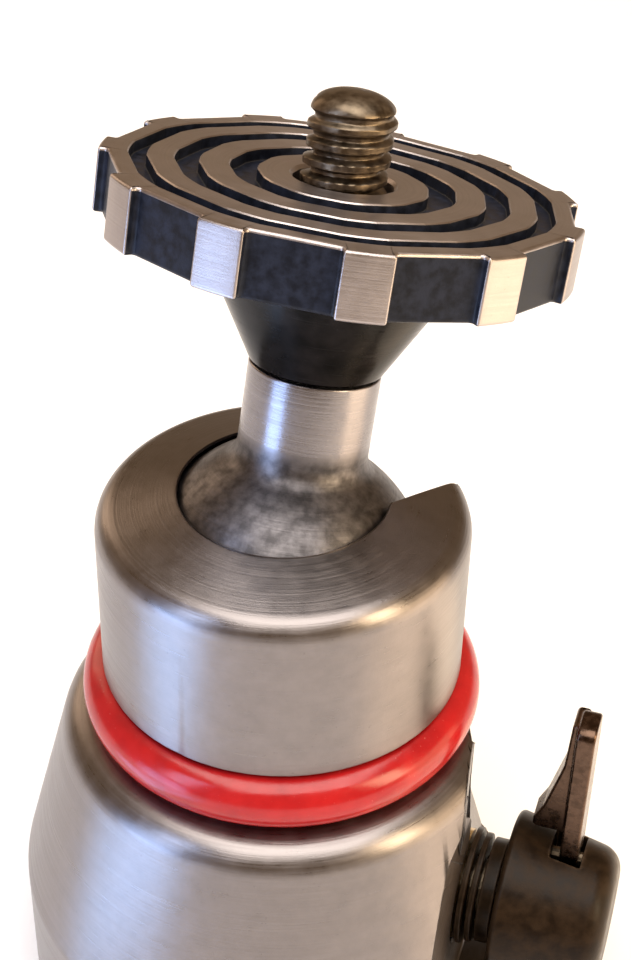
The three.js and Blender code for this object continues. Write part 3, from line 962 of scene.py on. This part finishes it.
def make_floor():
    bpy.ops.mesh.primitive_plane_add(size=6, location=(0, 0, cad_bounds[0][2] - 0.0002))
    floor = bpy.context.object
    floor.name = "floor"
    floor.data.materials.append(floor_paint())


make_camera()
make_lights()
make_floor()

BODY_METAL = aluminium("satin_aluminium", (0.212, 0.192, 0.188), 0.32, 0.5)
PLATFORM_METAL = aluminium("platform_aluminium", (0.36, 0.32, 0.31), 0.36, 0.4)
STEM_METAL = aluminium("stem_aluminium", (0.25, 0.235, 0.245), 0.27, 0.5, 12.4)
BLACK = black_anodised()
GLOSS = gloss_black()
# painted shade: a dark brown finish for the knob's spot-face, standing in for the shade that falls there
# round the knob's neck
POCKET_SHADE = moulded("painted_pocket_shade", (0.035, 0.024, 0.018), 0.5)
KNOB = knob_metal()
SCREW_STEEL = rubbed_steel("warm_steel", (0.165, 0.128, 0.090), 0.36)
BLADE_STEEL = rubbed_steel("blade_steel", (0.10, 0.062, 0.043), 0.26)
RED = red_rubber()
IVORY = moulded("ivory_acetal", (0.62, 0.58, 0.48), 0.5)
BRASS = machined_brass()

body_piece = housing()
finish_piece(body_piece, "body", "housing", "satin_aluminium", BODY_METAL, POCKET_SHADE)
# paints shade into the spot-face round the knob's neck
paint_pocket_shade(body_piece)
finish_piece(bumper_ring(), "body", "bumper_ring", "red_rubber", RED)
finish_piece(base_foot(), "body", "base_plate", "satin_aluminium", BODY_METAL)

finish_piece(ball_stem(), "ball", "ball_stud", "stem_aluminium", STEM_METAL)
finish_piece(neck_cone(), "head", "neck_cone", "gloss_black", GLOSS)
platform_piece, grooves, side, rim_outline = platform()
finish_piece(platform_piece, "head", "platform_disc", "satin_aluminium", PLATFORM_METAL, BLACK)
paint_platform(platform_piece, grooves, side, rim_outline)
finish_piece(camera_screw(), "head", "camera_screw", "warm_steel", SCREW_STEEL)

finish_piece(knob_hub(), "knob", "knob_hub", "knob_black", KNOB)
finish_piece(lever(), "knob", "lever_blade", "blade_steel", BLADE_STEEL)
# CAD node, name, outer radius, and start and end along the knob's axis
for node_name, name, outer, start, end in (
    ("thrust_washer_inner", "washer_inner", 4.9, 16.6, 17.1),
    ("thrust_washer_outer", "washer_outer", 4.6, 17.4, 17.9),
    ("spacer_sleeve", "sleeve_turned", 4.4, 18.2, 19.4),
):
    finish_piece(washer(name, outer, start, end), "lock_carriage", node_name, "knob_black", KNOB)

for i, degrees in enumerate(BASE_SCREWS):
    finish_piece(base_screw(degrees), "body", f"base_screw_{i + 1}", "warm_steel", SCREW_STEEL)

CAD_FINISHES = {
    "upper_seat": IVORY, "lower_cup": IVORY, "lock_bush": BRASS, "lift_block": BODY_METAL,
    "lever_pin": SCREW_STEEL, "lock_screw": SCREW_STEEL, "disc_spring_upper": SCREW_STEEL,
    "disc_spring_lower": SCREW_STEEL, "guide_pin": SCREW_STEEL, "wedge": SCREW_STEEL,
    "return_spring": SCREW_STEEL, "tripod_insert": SCREW_STEEL,
}
for node_name, finish in CAD_FINISHES.items():
    for material_slot in frame["nodes"][node_name].material_slots:
        material_slot.material = finish
